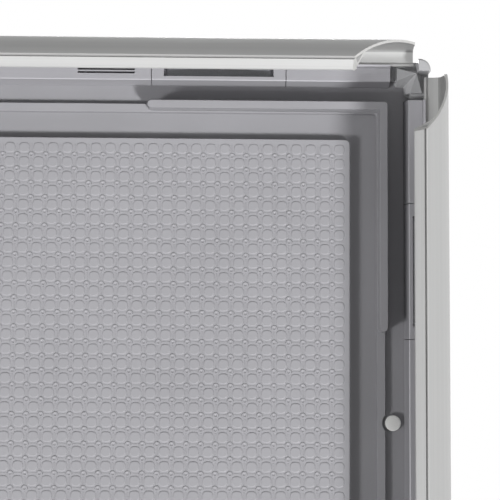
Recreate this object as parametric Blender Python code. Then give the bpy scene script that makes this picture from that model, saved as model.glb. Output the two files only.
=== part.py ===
"""A front-opening snap frame for a poster.

A moulded back tray is held by four aluminium base rails, which corner connectors join. Each base rail carries
a hinged snap rail, two spring cassettes and their leaf springs. All four snap rails stand open.

The frame hangs upright: X to the right, Z up, the front towards -Y, the wall plane at Y = 0 and the origin at
the centre of the back. Every cross-section is drawn in two measures: d, the distance inwards from the frame's
outer edge, and h, the height in front of the wall. s is the place along a side, from its middle.
"""

import math

import bmesh
import bpy
from mathutils import Matrix, Vector

# Poster and outline
POSTER_WIDTH = 0.420
POSTER_HEIGHT = 0.594
POSTER_INSET = 0.024
FIT_GAP = 0.0003
OVERRUN = 0.004
ARC_STEP_DEG = 15.0

# Base rail
WALL = 0.0012
BACK_FLANGE_WIDTH = 0.0123
OUTER_WALL_HEIGHT = 0.0065
WEB_HEIGHT = 0.0085
WEB_EDGE = 0.0094
INNER_WALL_LEAN = 0.0018
WEB_CHAMFER = 0.0003
RAIL_END_SETBACK = 0.0177

# Hinge
PIVOT_INSET = 0.00165
PIVOT_HEIGHT = 0.0086
BEAD_RADIUS = 0.0008
SOCKET_WALL = 0.0005
SOCKET_START_DEG = 245.0
SOCKET_END_DEG = 440.0
OPEN_ANGLE_DEG = 75.0

# Snap rail
SNAP_WALL = 0.0011
SNAP_SKIRT_HEIGHT = 0.0103
SNAP_CORNER_HEIGHT = 0.0160
SNAP_CREASE_INSET = 0.0369
SNAP_CREASE_HEIGHT = 0.0132
SNAP_CROWN_RADIUS = 0.0340
SNAP_CHAMFER = 0.0005
LIP_INSET = 0.0345
LIP_HEIGHT = 0.0072
LIP_EDGE_WIDTH = 0.0010
LIP_CHAMFER = 0.0003
LIP_BEAD_RADIUS = 0.0007
LIP_WEB_SPREAD = 0.0028
LIP_CELL_WALL = 0.0008
SNAP_FILLET_RADIUS = 0.0022
NECK_OUTER_DEG = 155.0
NECK_INNER_DEG = 100.0
NECK_FILLET_RADIUS = 0.0012
SNAP_END_SETBACK = 0.0074
CROWN_STEPS = 18

# Tray
SHEET = 0.0015
FLOOR_HEIGHT = 0.0030
TRAY_EDGE_INSET = 0.0070
RIB_CLEARANCE = 0.0002
RIB_WIDTH = 0.0044
RIB_DRAFT = 0.0002
TRAY_CHAMFER = 0.0003
LOW_RIB_HEIGHT = 0.0052
CORNER_RIB_HEIGHT = 0.0122
CORNER_RIB_WIDTH = 0.0042
CORNER_RIB_STEP = 0.0005
CORNER_RIB_REACH_ACROSS = 0.1080
CORNER_RIB_REACH_DOWN = 0.1033
CORNER_RIB_DRAFT = 0.0002
RIB_CORNER_RADIUS = 0.0014
BED_INSET = 0.0354
BED_HEIGHT = 0.0065
BED_SKIN = 0.0018
BED_RIM = 0.0020
BED_CORNER_RADIUS = 0.0024
LATTICE_RIB = 0.0020
LATTICE_PITCH = 0.0560
CORNER_STEPS = 4
DOME_STEPS = 4

# Screw plugs
PLUG_DROP = 0.1628
PLUG_INSET = 0.0163
PLUG_HEAD_RADIUS = 0.0035
PLUG_HEAD_THICKNESS = 0.0009
PLUG_STEM_RADIUS = 0.0015
BOSS_RADIUS = 0.0038
BOSS_HEIGHT = 0.0038
NOTCH_GAP = 0.0012
NOTCH_SILL = 0.0002
PLUG_SIDES = 32

# Spring cassettes and springs
CASSETTE_DISTANCE = 0.0952
CASSETTE_LENGTH = 0.0612
WINDOW_LENGTH = 0.0495
WINDOW_INNER_MARGIN = 0.0018
CASSETTE_FLOOR = 0.0011
SPRING_LENGTH = 0.0470
SPRING_THICKNESS = 0.0005
SPRING_RISE = 0.0024
SPRING_NOTCH = 0.0010
SPRING_STEPS = 12
SLOT_DISTANCE = 0.1460
SLOT_LENGTH = 0.0257
SLOT_WIDTH = 0.0009
SLOT_BAR = 0.0006
SLOT_INSET = 0.0042

# Corner connector
BLOCK_LENGTH = 0.0145
NUB_SIDE = 0.0058
BLOCK_SHELF_HEIGHT = 0.0062
BLOCK_EDGE = 0.0088
APEX_INSET = 0.0062
APEX_HEIGHT = 0.0124
NUB_INSET = 0.0002
NUB_RADIUS = 0.0050
NUB_HEIGHT = 0.0165
NUB_DOME = 0.0012
NUB_DOME_DROP = 0.0018
OUTER_CORNER_RADIUS = 0.0034
TONGUE_LENGTH = 0.0290
TONGUE_WIDTH = 0.0070
TONGUE_TOP = 0.0057
TOOTH_PITCH = 0.0012
TOOTH_DEPTH = 0.0006

# Worked out from the sizes above
WIDTH = POSTER_WIDTH + POSTER_INSET + POSTER_INSET
HEIGHT = POSTER_HEIGHT + POSTER_INSET + POSTER_INSET
OPEN_ANGLE = math.radians(OPEN_ANGLE_DEG)
PIVOT = (PIVOT_INSET, PIVOT_HEIGHT)
SOCKET_INNER_RADIUS = BEAD_RADIUS + FIT_GAP
SOCKET_OUTER_RADIUS = SOCKET_INNER_RADIUS + SOCKET_WALL
WEB_UNDERSIDE = WEB_HEIGHT - WALL
INNER_WALL_FOOT = FLOOR_HEIGHT + FIT_GAP
RIB_INNER = POSTER_INSET - RIB_CLEARANCE
RIB_OUTER = RIB_INNER - RIB_WIDTH
SNAP_INNER_RADIUS = SNAP_CROWN_RADIUS - SNAP_WALL
TONGUE_INSET = WALL + FIT_GAP
TONGUE_BASE = FLOOR_HEIGHT + FIT_GAP + FIT_GAP
CUT_START = PIVOT_INSET + SOCKET_OUTER_RADIUS
ALUMINIUM = ("aluminium", (0.56, 0.56, 0.55), 0.38, 1.0)
WEB_ALUMINIUM = ("web_aluminium", (0.44, 0.44, 0.46), 0.5, 0.6)
TRAY_PLASTIC = ("tray_plastic", (0.30, 0.31, 0.33), 0.5, 0.0)
CONNECTOR_PLASTIC = ("connector_plastic", (0.36, 0.37, 0.38), 0.42, 0.0)
SPRING_STEEL = ("spring_steel", (0.62, 0.62, 0.64), 0.2, 1.0)
NYLON = ("nylon", (0.85, 0.85, 0.83), 0.45, 0.0)


class Side:
    """One side of the frame: its length, its distance from the centre and its turn about the Y axis."""

    def __init__(self, name, length, reach, quarter_turns):
        self.name = name
        self.length = length
        self.matrix = (
            Matrix.Rotation(math.radians(90.0 * quarter_turns), 4, "Y") @ Matrix.Translation((0, 0, reach))
        )


SIDES = (
    Side("top", WIDTH, HEIGHT / 2, 0),
    Side("right", HEIGHT, WIDTH / 2, 1),
    Side("bottom", WIDTH, HEIGHT / 2, 2),
    Side("left", HEIGHT, WIDTH / 2, 3),
)
CORNERS = (
    ("top_right", WIDTH / 2, HEIGHT / 2, 0),
    ("bottom_right", WIDTH / 2, -HEIGHT / 2, 1),
    ("bottom_left", -WIDTH / 2, -HEIGHT / 2, 2),
    ("top_left", -WIDTH / 2, HEIGHT / 2, 3),
)


def remove_old_objects():
    for old in list(bpy.data.objects):
        bpy.data.objects.remove(old)


def material(recipe):
    """The named material, made once: its colour, roughness and metallic value."""
    name, colour, roughness, metallic = recipe
    found = bpy.data.materials.get(name)
    if found:
        return found
    made = bpy.data.materials.new(name)
    made.use_nodes = True
    shader = made.node_tree.nodes["Principled BSDF"]
    shader.inputs["Base Color"].default_value = (*colour, 1.0)
    shader.inputs["Roughness"].default_value = roughness
    shader.inputs["Metallic"].default_value = metallic
    made.diffuse_color = (*colour, 1.0)
    return made


def add_object(name, mesh, recipe, matrix, sharp_angle_deg=35.0):
    obj = bpy.data.objects.new(name, mesh)
    if not mesh.materials:
        mesh.materials.append(material(recipe))
        mesh.shade_smooth()
        mesh.set_sharp_from_angle(angle=math.radians(sharp_angle_deg))
    bpy.context.collection.objects.link(obj)
    obj.matrix_world = matrix
    return obj


def add_cutter(name, mesh, matrix):
    obj = bpy.data.objects.new(name, mesh)
    bpy.context.collection.objects.link(obj)
    obj.matrix_world = matrix
    obj.hide_render = True
    obj.display_type = "WIRE"
    return obj


def boolean(obj, cutter, operation):
    step = obj.modifiers.new(cutter.name, "BOOLEAN")
    step.operation = operation
    step.solver = "EXACT"
    step.object = cutter


def finished_mesh(name, bm):
    bmesh.ops.recalc_face_normals(bm, faces=bm.faces)
    mesh = bpy.data.meshes.new(name)
    bm.to_mesh(mesh)
    bm.free()
    return mesh


def place(s, d, h):
    """A point of a side, in that side's own frame, whose origin lies on the outer edge at the wall."""
    return Vector((s, -h, -d))


def arc(centre, radius, start_deg, end_deg):
    """Points (d, h) along a round stretch, both ends included."""
    steps = max(2, math.ceil(abs(end_deg - start_deg) / ARC_STEP_DEG))
    points = []
    for step in range(steps + 1):
        angle = math.radians(start_deg + (end_deg - start_deg) * step / steps)
        points.append((centre[0] + radius * math.cos(angle), centre[1] + radius * math.sin(angle)))
    return points


def bridge(bm, first, second):
    count = len(first)
    for index in range(count):
        following = (index + 1) % count
        bm.faces.new((first[index], first[following], second[following], second[index]))


def loft(bm, rings):
    """A closed body through rings of points, with its first and last ring filled."""
    made = [[bm.verts.new(point) for point in ring] for ring in rings]
    for first, second in zip(made, made[1:]):
        bridge(bm, first, second)
    bm.faces.new(made[0][::-1])
    bm.faces.new(made[-1])


def add_box(bm, s_range, d_range, h_range):
    rings = []
    for s in s_range:
        corners = ((d_range[0], h_range[0]), (d_range[1], h_range[0]), (d_range[1], h_range[1]), (d_range[0], h_range[1]))
        rings.append([place(s, d, h) for d, h in corners])
    loft(bm, rings)


def extrude_profile(bm, outline, start, end):
    loft(bm, [[place(s, d, h) for d, h in outline] for s in (start, end)])


def pivot_point(radius, angle_deg):
    angle = math.radians(angle_deg)
    return (PIVOT[0] + radius * math.cos(angle), PIVOT[1] + radius * math.sin(angle))


def wall_inset(h):
    """Where the leaning inner wall stands at a height."""
    return WEB_EDGE + INNER_WALL_LEAN * (WEB_HEIGHT - h) / (WEB_HEIGHT - INNER_WALL_FOOT)


def base_rail_outline():
    """Back flange, outer wall, hinge socket, web and leaning inner wall, as one open section."""
    web_rise = WEB_UNDERSIDE - PIVOT_HEIGHT
    underside_deg = 360.0 + math.degrees(math.asin(web_rise / SOCKET_OUTER_RADIUS))
    wall_deg = 180.0 + math.degrees(math.acos((PIVOT_INSET - WALL) / SOCKET_OUTER_RADIUS))
    web_deg = 360.0 + math.degrees(math.asin((WEB_HEIGHT - PIVOT_HEIGHT) / SOCKET_OUTER_RADIUS))
    lean = INNER_WALL_LEAN / (WEB_HEIGHT - INNER_WALL_FOOT)
    inner_face = WEB_EDGE - WALL
    return (
        [(0, 0), (BACK_FLANGE_WIDTH, 0), (BACK_FLANGE_WIDTH, WALL), (WALL, WALL)]
        + arc(PIVOT, SOCKET_OUTER_RADIUS, wall_deg, underside_deg)
        + [(inner_face + lean * WALL, WEB_UNDERSIDE)]
        + [(inner_face + INNER_WALL_LEAN, INNER_WALL_FOOT), (WEB_EDGE + INNER_WALL_LEAN, INNER_WALL_FOOT)]
        + [(WEB_EDGE + lean * WEB_CHAMFER, WEB_HEIGHT - WEB_CHAMFER), (WEB_EDGE - WEB_CHAMFER, WEB_HEIGHT)]
        + arc(PIVOT, SOCKET_OUTER_RADIUS, web_deg, SOCKET_END_DEG)
        + arc(PIVOT, SOCKET_INNER_RADIUS, SOCKET_END_DEG, SOCKET_START_DEG)
        + [pivot_point(SOCKET_OUTER_RADIUS, SOCKET_START_DEG), (0, OUTER_WALL_HEIGHT)]
    )


def base_rail_mesh(side):
    half = side.length / 2 - RAIL_END_SETBACK
    bm = bmesh.new()
    extrude_profile(bm, base_rail_outline(), -half, half)
    return finished_mesh("base_rail_" + side.name, bm)


def web_cuts_mesh(side):
    """The openings in the web: one for each spring cassette, and a pair of slots further from each corner."""
    bm = bmesh.new()
    for end in (-1, 1):
        middle = end * (side.length / 2 - CASSETTE_DISTANCE)
        reach = CASSETTE_LENGTH / 2
        add_box(
            bm,
            (middle - reach, middle + reach),
            (CUT_START, WEB_EDGE + INNER_WALL_LEAN + OVERRUN),
            (FLOOR_HEIGHT, WEB_HEIGHT + OVERRUN),
        )
        middle = end * (side.length / 2 - SLOT_DISTANCE)
        reach = SLOT_LENGTH / 2
        for inset in (SLOT_INSET, SLOT_INSET + SLOT_WIDTH + SLOT_BAR):
            add_box(
                bm,
                (middle - reach, middle + reach),
                (inset, inset + SLOT_WIDTH),
                (WEB_UNDERSIDE - WALL, WEB_HEIGHT + OVERRUN),
            )
    return finished_mesh("web_cuts_" + side.name, bm)


def make_base_rail(side):
    rail = add_object("base_rail_" + side.name, base_rail_mesh(side), ALUMINIUM, side.matrix)
    boolean(rail, add_cutter("web_cuts_" + side.name, web_cuts_mesh(side), side.matrix), "DIFFERENCE")


def crown_centre():
    """The centre of the crown's arc, which runs through the outer corner and the crease."""
    chord_d = SNAP_CREASE_INSET / 2
    chord_h = (SNAP_CREASE_HEIGHT - SNAP_CORNER_HEIGHT) / 2
    half_chord = math.hypot(chord_d, chord_h)
    drop = math.sqrt(SNAP_CROWN_RADIUS ** 2 - half_chord ** 2)
    middle_h = SNAP_CORNER_HEIGHT + chord_h
    return (chord_d + drop * chord_h / half_chord, middle_h - drop * chord_d / half_chord)


def crown_height(d, radius):
    centre = crown_centre()
    return centre[1] + math.sqrt(radius ** 2 - (d - centre[0]) ** 2)


def crown_points(start_d, end_d, radius):
    points = []
    for step in range(CROWN_STEPS + 1):
        d = start_d + (end_d - start_d) * step / CROWN_STEPS
        points.append((d, crown_height(d, radius)))
    return points


def lip_outline():
    """The lip from its crease down to its edge, round its bead and up its inner web."""
    bead = (LIP_INSET - LIP_EDGE_WIDTH / 3 - LIP_BEAD_RADIUS, LIP_HEIGHT + LIP_BEAD_RADIUS)
    lean = (SNAP_CREASE_INSET - LIP_INSET) / (SNAP_CREASE_HEIGHT - LIP_HEIGHT)
    return (
        [(SNAP_CREASE_INSET - lean * LIP_CHAMFER, SNAP_CREASE_HEIGHT - LIP_CHAMFER)]
        + [(LIP_INSET, LIP_HEIGHT + LIP_EDGE_WIDTH / 2)]
        + arc(bead, LIP_BEAD_RADIUS, -60.0, -240.0)
    )


def crown_fillet():
    """The round inner corner between the crown and the outer wall, tangent to both."""
    centre = crown_centre()
    middle_d = SNAP_WALL + SNAP_FILLET_RADIUS
    reach = SNAP_INNER_RADIUS - SNAP_FILLET_RADIUS
    middle_h = centre[1] + math.sqrt(reach ** 2 - (middle_d - centre[0]) ** 2)
    touch_deg = math.degrees(math.atan2(middle_h - centre[1], middle_d - centre[0]))
    return arc((middle_d, middle_h), SNAP_FILLET_RADIUS, touch_deg, 180.0)


def snap_rail_outline():
    """Closed position: outer wall, crown, lip, the inner faces back again, neck and hinge bead."""
    neck_out = pivot_point(BEAD_RADIUS, NECK_OUTER_DEG)
    neck_in = pivot_point(BEAD_RADIUS, NECK_INNER_DEG)
    skirt_step = (SNAP_SKIRT_HEIGHT - neck_out[1]) / 2
    fillet = crown_fillet()
    neck_middle = (neck_in[0] - NECK_FILLET_RADIUS + FIT_GAP, neck_in[1] + NECK_FILLET_RADIUS)
    return (
        [(neck_out[0] / 2, neck_out[1] + skirt_step / 2), (0, SNAP_SKIRT_HEIGHT)]
        + [(0, crown_height(0, SNAP_CROWN_RADIUS) - SNAP_CHAMFER)]
        + crown_points(SNAP_CHAMFER, SNAP_CREASE_INSET - LIP_CHAMFER, SNAP_CROWN_RADIUS)
        + lip_outline()
        + crown_points(LIP_INSET - LIP_WEB_SPREAD, fillet[0][0], SNAP_INNER_RADIUS)
        + fillet[1:]
        + [(SNAP_WALL, neck_middle[1] + NECK_FILLET_RADIUS), (neck_in[0], neck_middle[1])]
        + arc(PIVOT, BEAD_RADIUS, NECK_INNER_DEG, NECK_OUTER_DEG - 360.0)
    )


def lip_cell_outline():
    """The small three-sided channel behind the lip, open at both ends of the rail."""
    depth = SNAP_WALL
    top_d = SNAP_CREASE_INSET - LIP_CELL_WALL - LIP_CELL_WALL / 2
    inner_d = LIP_INSET - LIP_WEB_SPREAD + LIP_CELL_WALL + LIP_CELL_WALL / 4
    low_d = LIP_INSET - LIP_CELL_WALL
    return [
        (top_d, crown_height(top_d, SNAP_CROWN_RADIUS - depth)),
        (inner_d, crown_height(inner_d, SNAP_CROWN_RADIUS - depth)),
        (low_d, (LIP_HEIGHT + SNAP_CREASE_HEIGHT) / 2),
    ]


def trim_end(bm, point, normal):
    """Cuts the body off beyond a plane and closes it there."""
    parts = bm.verts[:] + bm.edges[:] + bm.faces[:]
    cut = bmesh.ops.bisect_plane(bm, geom=parts, plane_co=point, plane_no=normal, clear_outer=True)
    edges = [part for part in cut["geom_cut"] if isinstance(part, bmesh.types.BMEdge)]
    bmesh.ops.triangle_fill(bm, edges=edges, use_beauty=True, normal=normal)


def snap_rail_mesh(side):
    """The section drawn along the side, mitred at both ends and cut square beside the corner."""
    bm = bmesh.new()
    half = side.length / 2
    outline = snap_rail_outline()
    cell = lip_cell_outline()
    for loop in (outline, cell):
        rings = [[bm.verts.new(place(s, d, h)) for d, h in loop] for s in (-half, half)]
        bridge(bm, *rings)
    for end in (-1, 1):
        mitre = place(end * (half - FIT_GAP), 0, 0)
        trim_end(bm, mitre, Vector((end, 0, -1)).normalized())
        trim_end(bm, place(end * (half - SNAP_END_SETBACK), 0, 0), Vector((end, 0, 0)))
    bmesh.ops.translate(bm, verts=bm.verts, vec=-place(0, *PIVOT))
    return finished_mesh("snap_rail_" + side.name, bm)


def make_snap_rail(side):
    """The snap rail hangs on its hinge axis and is turned open about it."""
    hinge = side.matrix @ Matrix.Translation(place(0, *PIVOT))
    opened = hinge @ Matrix.Rotation(-OPEN_ANGLE, 4, "X")
    add_object("snap_rail_" + side.name, snap_rail_mesh(side), ALUMINIUM, opened)


def cassette_mesh():
    """A short trough in line with the web, open towards the socket, with a block at each end."""
    bm = bmesh.new()
    inner = CUT_START + FIT_GAP
    outline = [
        (inner, INNER_WALL_FOOT),
        (WEB_EDGE + INNER_WALL_LEAN, INNER_WALL_FOOT),
        (wall_inset(WEB_HEIGHT - WEB_CHAMFER), WEB_HEIGHT - WEB_CHAMFER),
        (WEB_EDGE - WEB_CHAMFER, WEB_HEIGHT),
        (inner, WEB_HEIGHT),
    ]
    half = CASSETTE_LENGTH / 2 - FIT_GAP
    extrude_profile(bm, outline, -half, half)
    return finished_mesh("spring_cassette", bm)


def window_mesh():
    bm = bmesh.new()
    add_box(
        bm,
        (-WINDOW_LENGTH / 2, WINDOW_LENGTH / 2),
        (CUT_START - OVERRUN, WEB_EDGE - WINDOW_INNER_MARGIN),
        (INNER_WALL_FOOT + CASSETTE_FLOOR, WEB_HEIGHT + OVERRUN),
    )
    return finished_mesh("spring_window", bm)


def spring_mesh():
    """A bowed strip whose ends rest on the cassette's floor, with a small notch at its middle."""
    bm = bmesh.new()
    first = CUT_START + FIT_GAP + FIT_GAP
    last = WEB_EDGE - WINDOW_INNER_MARGIN - FIT_GAP
    base = INNER_WALL_FOOT + CASSETTE_FLOOR + FIT_GAP
    rings = []
    for step in range(SPRING_STEPS + 1):
        share = step / SPRING_STEPS
        s = SPRING_LENGTH * (share - 1 / 2)
        low = base + SPRING_RISE * math.sin(math.pi * share)
        notch = SPRING_NOTCH if step == SPRING_STEPS // 2 else 0
        rings.append([
            place(s, first + notch, low),
            place(s, last, low),
            place(s, last, low + SPRING_THICKNESS),
            place(s, first + notch, low + SPRING_THICKNESS),
        ])
    loft(bm, rings)
    return finished_mesh("leaf_spring", bm)


def make_cassettes(side):
    """Two cassettes with their springs, at one distance from the side's two corners."""
    ends = {"top": ("left", "right"), "right": ("top", "bottom"), "bottom": ("right", "left"), "left": ("bottom", "top")}
    for end, word in zip((-1, 1), ends[side.name]):
        matrix = side.matrix @ Matrix.Translation((end * (side.length / 2 - CASSETTE_DISTANCE), 0, 0))
        label = side.name + "_" + word
        cassette = add_object("spring_cassette_" + label, CASSETTE, WEB_ALUMINIUM, matrix)
        boolean(cassette, add_cutter("spring_window_" + label, WINDOW, matrix), "DIFFERENCE")
        add_object("leaf_spring_" + label, SPRING, SPRING_STEEL, matrix)


def corner_place(a, b, h):
    """A point near a corner: a and b are the distances inwards from its two outer edges."""
    return Vector((-a, -h, -b))


def rounded_corner(inset, radius, steps):
    """The round outer corner of the connector, from the b edge to the a edge."""
    points = []
    for step in range(steps + 1):
        angle = math.radians(90.0 * step / steps)
        points.append((inset + radius * (1 - math.sin(angle)), inset + radius * (1 - math.cos(angle))))
    return points


def block_ring(length, inner, h):
    """An L-shaped ring round the corner, whose legs are as long as length and as wide as inner."""
    outline = [(length, 0), (length, CUT_START), (length, inner), (inner, inner)]
    outline += [(inner, length), (CUT_START, length), (0, length)]
    outline += rounded_corner(0, OUTER_CORNER_RADIUS, CORNER_STEPS)[::-1]
    return [corner_place(a, b, h) for a, b in outline]


def connector_block_mesh():
    """Two legs round the corner: a low shelf along the outer edge, and facets that rise to one apex."""
    bm = bmesh.new()
    lower = TRAY_EDGE_INSET - FIT_GAP
    foot_length = RAIL_END_SETBACK - FIT_GAP
    ledge = INNER_WALL_FOOT + FIT_GAP
    rings = [
        block_ring(foot_length, lower, 0),
        block_ring(foot_length, lower, INNER_WALL_FOOT),
        block_ring(BLOCK_LENGTH, wall_inset(ledge), ledge),
        block_ring(BLOCK_LENGTH, wall_inset(BLOCK_SHELF_HEIGHT), BLOCK_SHELF_HEIGHT),
    ]
    made = [[bm.verts.new(point) for point in ring] for ring in rings]
    for first, second in zip(made, made[1:]):
        bridge(bm, first, second)
    bm.faces.new(made[0])
    _, a_shelf, a_wall, inner_wall, b_wall, b_shelf = made[-1][:6]

    def vertex(a, b, h):
        return bm.verts.new(corner_place(a, b, h))

    a_outer = vertex(BLOCK_LENGTH, CUT_START, WEB_HEIGHT)
    a_inner = vertex(BLOCK_LENGTH, BLOCK_EDGE, WEB_HEIGHT)
    inner = vertex(BLOCK_EDGE, BLOCK_EDGE, WEB_HEIGHT)
    b_inner = vertex(BLOCK_EDGE, BLOCK_LENGTH, WEB_HEIGHT)
    b_outer = vertex(CUT_START, BLOCK_LENGTH, WEB_HEIGHT)
    apex = vertex(APEX_INSET, APEX_INSET, APEX_HEIGHT)
    shelf = vertex(CUT_START, CUT_START, BLOCK_SHELF_HEIGHT)
    for face in (
        (a_shelf, a_wall, a_inner, a_outer),
        (a_wall, inner_wall, inner, a_inner),
        (inner_wall, b_wall, b_inner, inner),
        (b_wall, b_shelf, b_outer, b_inner),
        (a_outer, a_inner, apex),
        (a_inner, inner, apex),
        (inner, b_inner, apex),
        (b_inner, b_outer, apex),
        (a_shelf, a_outer, apex),
        (a_shelf, apex, shelf),
        (b_outer, b_shelf, apex),
        (b_shelf, shelf, apex),
        (a_shelf, shelf, b_shelf, *made[-1][6:], made[-1][0]),
    ):
        bm.faces.new(face)
    return finished_mesh("connector_block", bm)


def nub_ring(inset, h):
    """The nub's quarter-round plan, drawn in by inset on its two outer sides."""
    low = NUB_INSET + inset
    high = NUB_SIDE
    outline = [(high, low), (high, high), (low, high)]
    outline += rounded_corner(low, NUB_RADIUS - inset, CORNER_STEPS + CORNER_STEPS)[::-1]
    return [corner_place(a, b, h) for a, b in outline]


def nub_mesh():
    """The round nub that fills the corner between the two snap rails' square ends, domed at its top."""
    rings = [nub_ring(0, BLOCK_SHELF_HEIGHT - WALL)]
    for step in range(DOME_STEPS + 1):
        angle = math.pi / 2 * step / DOME_STEPS
        inset = NUB_DOME * (1 - math.cos(angle))
        rings.append(nub_ring(inset, NUB_HEIGHT - NUB_DOME_DROP * (1 - math.sin(angle))))
    bm = bmesh.new()
    loft(bm, rings)
    return finished_mesh("connector_nub", bm)


def tongue_mesh(leg):
    """A bar with a row of teeth on its face, which goes into the base rail."""
    start = BLOCK_LENGTH - FIT_GAP
    teeth = int(TONGUE_LENGTH / TOOTH_PITCH)
    profile = [(start, TONGUE_BASE), (start, TONGUE_TOP)]
    for tooth in range(teeth):
        near = BLOCK_LENGTH + TOOTH_PITCH * (tooth + 1 / 2)
        profile += [(near, TONGUE_TOP), (near + TOOTH_PITCH / 4, TONGUE_TOP - TOOTH_DEPTH)]
    profile += [(BLOCK_LENGTH + TONGUE_LENGTH, TONGUE_TOP - TOOTH_DEPTH), (BLOCK_LENGTH + TONGUE_LENGTH, TONGUE_BASE)]
    bm = bmesh.new()
    rings = []
    for b in (TONGUE_INSET, TONGUE_INSET + TONGUE_WIDTH):
        rings.append([corner_place(a, b, h) if leg == "a" else corner_place(b, a, h) for a, h in profile])
    loft(bm, rings)
    return finished_mesh("connector_tongue_" + leg, bm)


def make_connector(name, x, z, quarter_turns):
    turn = Matrix.Rotation(math.radians(90.0 * quarter_turns), 4, "Y")
    matrix = Matrix.Translation((x, 0, z)) @ turn
    connector = add_object("corner_connector_" + name, BLOCK.copy(), CONNECTOR_PLASTIC, matrix)
    for mesh in CONNECTOR_ADDITIONS:
        boolean(connector, add_cutter(mesh.name + "_" + name, mesh, matrix), "UNION")


def rounded_rectangle(d, h, radius):
    """A ring round the frame at one inset, with round corners."""
    half_x = WIDTH / 2 - d - radius
    half_z = HEIGHT / 2 - d - radius
    points = []
    for sign_x, sign_z, start in ((1, 1, 0), (-1, 1, 90), (-1, -1, 180), (1, -1, 270)):
        for step in range(CORNER_STEPS + 1):
            angle = math.radians(start + 90.0 * step / CORNER_STEPS)
            points.append(Vector((
                sign_x * half_x + radius * math.cos(angle), -h, sign_z * half_z + radius * math.sin(angle)
            )))
    return points


def tray_body_mesh():
    """The tray without its corner ribs: sheet, low rib and raised bed, from the back round to the front."""
    underside = FLOOR_HEIGHT - SHEET
    rib = RIB_CORNER_RADIUS
    bed = BED_CORNER_RADIUS
    sections = (
        (BED_INSET, 0, bed),
        (BED_INSET, underside, bed),
        (RIB_INNER, underside, rib),
        (RIB_INNER, 0, rib),
        (RIB_OUTER, 0, rib + RIB_DRAFT),
        (RIB_OUTER, underside, rib + RIB_DRAFT),
        (TRAY_EDGE_INSET, underside, rib),
        (TRAY_EDGE_INSET, FLOOR_HEIGHT, rib),
        (RIB_OUTER, FLOOR_HEIGHT, rib + RIB_DRAFT),
        (RIB_OUTER + RIB_DRAFT, LOW_RIB_HEIGHT - TRAY_CHAMFER, rib + RIB_DRAFT),
        (RIB_OUTER + RIB_DRAFT + TRAY_CHAMFER, LOW_RIB_HEIGHT, rib),
        (RIB_INNER - RIB_DRAFT - TRAY_CHAMFER, LOW_RIB_HEIGHT, rib),
        (RIB_INNER - RIB_DRAFT, LOW_RIB_HEIGHT - TRAY_CHAMFER, rib),
        (RIB_INNER, FLOOR_HEIGHT, rib),
        (BED_INSET, FLOOR_HEIGHT, bed),
        (BED_INSET + RIB_DRAFT, BED_HEIGHT - TRAY_CHAMFER, bed),
        (BED_INSET + RIB_DRAFT + TRAY_CHAMFER, BED_HEIGHT, bed - TRAY_CHAMFER),
    )
    bm = bmesh.new()
    loft(bm, [rounded_rectangle(*section) for section in sections])
    return finished_mesh("back_tray", bm)


def corner_rib_ring(reaches, draft, h):
    """An L in plan with round ends, whose legs have their own reaches; draft narrows it on every side."""
    outer = RIB_OUTER - CORNER_RIB_STEP + draft
    inner = RIB_OUTER - CORNER_RIB_STEP + CORNER_RIB_WIDTH - draft
    middle = (outer + inner) / 2
    half = (inner - outer) / 2
    a_end, b_end = [RIB_OUTER + reach - CORNER_RIB_WIDTH / 2 for reach in reaches]
    points = []
    for step in range(CORNER_STEPS + 1):
        angle = math.pi * step / CORNER_STEPS
        points.append((a_end + half * math.sin(angle), middle - half * math.cos(angle)))
    points += [(inner, inner)]
    for step in range(CORNER_STEPS + 1):
        angle = math.pi * step / CORNER_STEPS
        points.append((middle + half * math.cos(angle), b_end + half * math.sin(angle)))
    points += rounded_corner(outer, RIB_CORNER_RADIUS, CORNER_STEPS)[::-1]
    return [corner_place(a, b, h) for a, b in points]


def corner_ribs_mesh():
    bm = bmesh.new()
    for _, x, z, quarter_turns in CORNERS:
        turn = Matrix.Translation((x, 0, z)) @ Matrix.Rotation(math.radians(90.0 * quarter_turns), 4, "Y")
        reaches = (CORNER_RIB_REACH_ACROSS, CORNER_RIB_REACH_DOWN)
        if quarter_turns % 2:
            reaches = reaches[::-1]
        rings = (
            corner_rib_ring(reaches, 0, FLOOR_HEIGHT - SHEET / 2),
            corner_rib_ring(reaches, CORNER_RIB_DRAFT, CORNER_RIB_HEIGHT - TRAY_CHAMFER),
            corner_rib_ring(reaches, CORNER_RIB_DRAFT + TRAY_CHAMFER, CORNER_RIB_HEIGHT),
        )
        loft(bm, [[turn @ point for point in ring] for ring in rings])
    return finished_mesh("corner_ribs", bm)


def plug_places():
    """The four places in the channel of the long sides, at one drop from the top and the bottom."""
    for word_x, sign_x in (("left", -1), ("right", 1)):
        for word_z, sign_z in (("bottom", -1), ("top", 1)):
            x = sign_x * (WIDTH / 2 - PLUG_INSET)
            z = sign_z * (HEIGHT / 2 - PLUG_DROP)
            yield word_z + "_" + word_x, x, z


def add_drum(bm, x, z, sections):
    """A turned solid that faces the front: sections are pairs of radius and height."""
    rings = []
    for radius, h in sections:
        angles = [math.tau * side / PLUG_SIDES for side in range(PLUG_SIDES)]
        rings.append([Vector((x + radius * math.cos(a), -h, z + radius * math.sin(a))) for a in angles])
    loft(bm, rings)


def drums_mesh(name, sections):
    bm = bmesh.new()
    for _, x, z in plug_places():
        add_drum(bm, x, z, sections)
    return finished_mesh(name, bm)


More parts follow.
